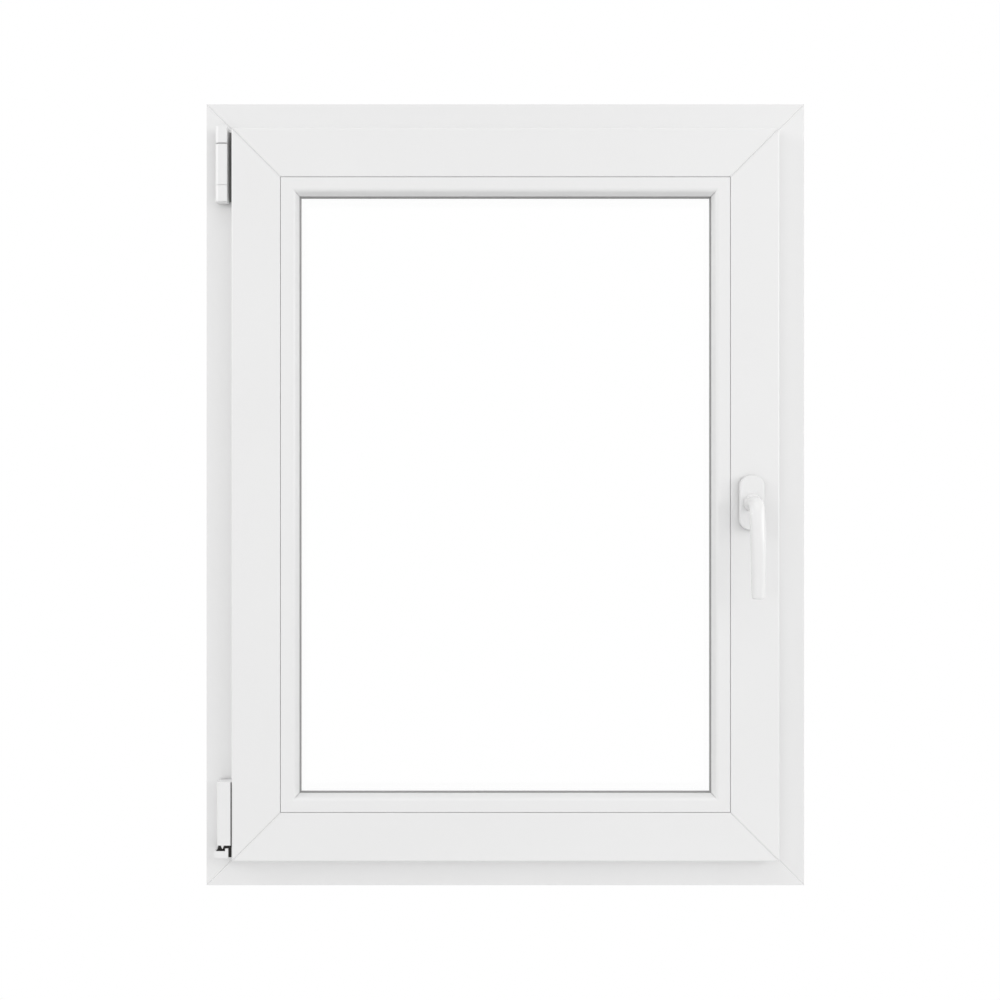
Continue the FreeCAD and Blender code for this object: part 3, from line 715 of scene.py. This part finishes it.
upper_cover("hinge_cover_top", "stay_cap_upper", (None, TOP_END_ROUND))
upper_cover(
    "hinge_cover_knuckle", "stay_knuckle_cover", (None, None), JOINT_DOWN, JOINT_OPEN
)
upper_cover("hinge_cover_bottom", "stay_cap_lower", (BOTTOM_END_ROUND, None))
cover_low, cover_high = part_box("corner_hinge_cover")
hinge_cover(
    "lower_hinge_cover",
    cover_low,
    cover_high,
    LOWER_ROUND,
    (None, LOWER_END_ROUND),
    "corner_hinge_cover",
)

# %% [markdown]
# Under the lower cover a small moulded point reaches down over the pivot, where the sash's corner
# turns. It is round and tapers, so a short line is spun into it as on a lathe.

# %% The moulded point
POINT_RADIUS, POINT_LENGTH, POINT_TIP, POINT_SUNK = 2.2 * MM, 4.6 * MM, 0.4 * MM, 1 * MM
POINT_FROM_CORNER = Vector((7.0 * MM, 1.9 * MM, 0))
point_outline = [
    (0, POINT_SUNK),
    (POINT_RADIUS, POINT_SUNK),
    (POINT_RADIUS, 0),
    (POINT_TIP, -POINT_LENGTH),
    (0, -POINT_LENGTH),
]
bm = bmesh.new()
turned(bm, point_outline, cover_low + POINT_FROM_CORNER, axis=(0, 0, 1), steps=20)
finished("lower_hinge_point", bm, moulded, "window")

# %% [markdown]
# The lower hinge's leaf is a sheet on edge between cover and sash, and its foot shows below the
# cover, beside the pivot. Both are coloured black as painted shade, so they read as the shade in
# the gap. Both are plain bars with broken edges: sheet metal is cut, so its edges are nearly sharp
# and only a small bevel catches light.

# %% Edge of the leaf and its foot
BROKEN_EDGE = 0.25 * MM
sash_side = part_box("sash_hinge_stile")[0].x
pivot_cap_low, pivot_cap_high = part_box("pivot_cap")


def shade_black_bar(name, low, low_inset, high, high_inset):
    """A bar between two points, each moved by its inset in mm, in the black of painted shade."""
    bm = bmesh.new()
    box_between(bm, Vector(low) + Vector(low_inset) * MM, Vector(high) + Vector(high_inset) * MM)
    soften(bm, list(bm.edges), BROKEN_EDGE, segments=2)
    finished(name, bm, steel, "window")


shade_black_bar(
    "hinge_leaf_edge",
    (cover_high.x, cover_low.y, cover_low.z),
    (0.15, 1.7, -2.0),
    (sash_side, cover_high.y, cover_high.z),
    (0.4, 0, -0.8),
)
shade_black_bar(
    "hinge_leaf_foot",
    (pivot_cap_high.x, cover_low.y, pivot_cap_low.z),
    (0.1, 2.2, 1.6),
    (sash_side, cover_high.y, cover_low.z),
    (-0.2, 0, 1.5),
)

# %% [markdown]
# Stage, light and camera
#
# The studio is plain: a white surround, a pale floor below the window, and soft lamps. The
# surround shows white to the camera, to reflections and through glass, and is dimmer to matt
# surfaces, so that the white window keeps its shading against the white background. It could
# also be a large painted wall, but a surround needs no modelling and has no edges.

# %% The white surround
AMBIENT = 0.70
world = bpy.data.worlds.new("studio_surround")
bpy.context.scene.world = world
world.use_nodes = True
surround = Network(world.node_tree)
seen, mirrored, let_through = (
    surround.node("ShaderNodeLightPath", output=f"Is {kind} Ray")
    for kind in ("Camera", "Glossy", "Transmission")
)
# A ray can be mirrored and let through at once. The ramp still ends at 1 then.
strength = surround.ramp(seen + mirrored + let_through, 0.0, 1.0, AMBIENT, 1.0)
background = surround.tree.nodes["Background"]
surround.feed(background.inputs["Color"], (1, 1, 1, 1))
surround.feed(background.inputs["Strength"], strength)
print("surround at", AMBIENT, "of its white for matt surfaces")

# %% [markdown]
# The floor is a disc well below the window, matt and slightly uneven in tone, so that it takes a
# soft shadow and throws a little light up under the sash.

# %% The floor
FLOOR_MIDDLE, FLOOR_RADIUS = (0, -0.2, -0.45), 0.85
bm = bmesh.new()
bmesh.ops.create_circle(
    bm,
    cap_ends=True,
    radius=FLOOR_RADIUS,
    segments=96,
    matrix=Matrix.Translation(FLOOR_MIDDLE),
)
floor_mesh = bpy.data.meshes.new("studio_floor")
bm.to_mesh(floor_mesh)
bm.free()
floor = bpy.data.objects.new("studio_floor", floor_mesh)
bpy.context.scene.collection.objects.link(floor)
pale = Finish("pale_floor", Roughness=0.9)
pale.surface(pale.blend(pale.noise(4.0), grey(0.88), grey(0.90)))
floor_mesh.materials.append(pale.material)
print("floor at", FLOOR_MIDDLE, "m")

# %% [markdown]
# A white object is drawn by differences in light, so each lamp has one task. The key box from the
# upper right gives the shadow left of the handle, and the overhead box lights what faces up. The
# fill softens both. The two high boxes at the sides light the rounded noses of the beads, which
# face sideways, and the low box at the right draws the bright line on the grip: its height sets
# where on the bow that line starts and ends. The rear box lights the outside.

# %% Soft lamps
WINDOW_MIDDLE = Vector((0, 0, 0.5))


def soft_lamp(name, power, wide, tall, place):
    """A rectangle of light, aimed at the window, with its power in watts and sizes in metres."""
    lamp = bpy.data.lights.new(name, "AREA")
    lamp.shape, lamp.size, lamp.size_y, lamp.energy = "RECTANGLE", wide, tall, power
    stand = bpy.data.objects.new(name, lamp)
    stand.location = place
    aim = WINDOW_MIDDLE - Vector(place)
    stand.rotation_euler = aim.to_track_quat("-Z", "Y").to_euler()
    bpy.context.scene.collection.objects.link(stand)
    print(f"{name}: {power} W at {aim.length:.2f} m")


soft_lamp("key_softbox", 7.5, 1.3, 2.2, (2.2, -3.15, 1.5))
soft_lamp("overhead_softbox", 17.0, 3.2, 3.2, (0.25, -2.5, 4.8))
soft_lamp("left_fill", 12.0, 1.6, 1.6, (-2.2, -3.8, 0.7))
soft_lamp("right_low_box", 20.5, 2.0, 0.9, (2.75, -1.65, 0.97))
soft_lamp("right_high_box", 9.0, 1.2, 1.4, (2.9, -0.7, 1.9))
soft_lamp("left_high_box", 25.0, 1.2, 1.4, (-2.9, -0.9, 1.8))
soft_lamp("rear_fill", 20.0, 1.4, 1.4, (-1.4, 2.6, 1.6))

# %% [markdown]
# The camera stands where the photographer stood: straight in front of the window's middle, so all
# the bars stay parallel, and near enough for the sash to hide a little of the frame's rebate.

# %% Camera and view
FOCAL_LENGTH, SENSOR_WIDTH = 44.05, 36.0
CAMERA_PLACE = (-0.0067, -1.570, 0.4834)
lens = bpy.data.cameras.new("photo_camera")
lens.lens, lens.sensor_width = FOCAL_LENGTH, SENSOR_WIDTH
camera = bpy.data.objects.new("photo_camera", lens)
camera.location = CAMERA_PLACE
camera.rotation_euler = (math.radians(90), 0, 0)
bpy.context.scene.collection.objects.link(camera)
bpy.context.scene.camera = camera
bpy.context.scene.view_settings.view_transform = "Standard"
print("camera at", tuple(camera.location))
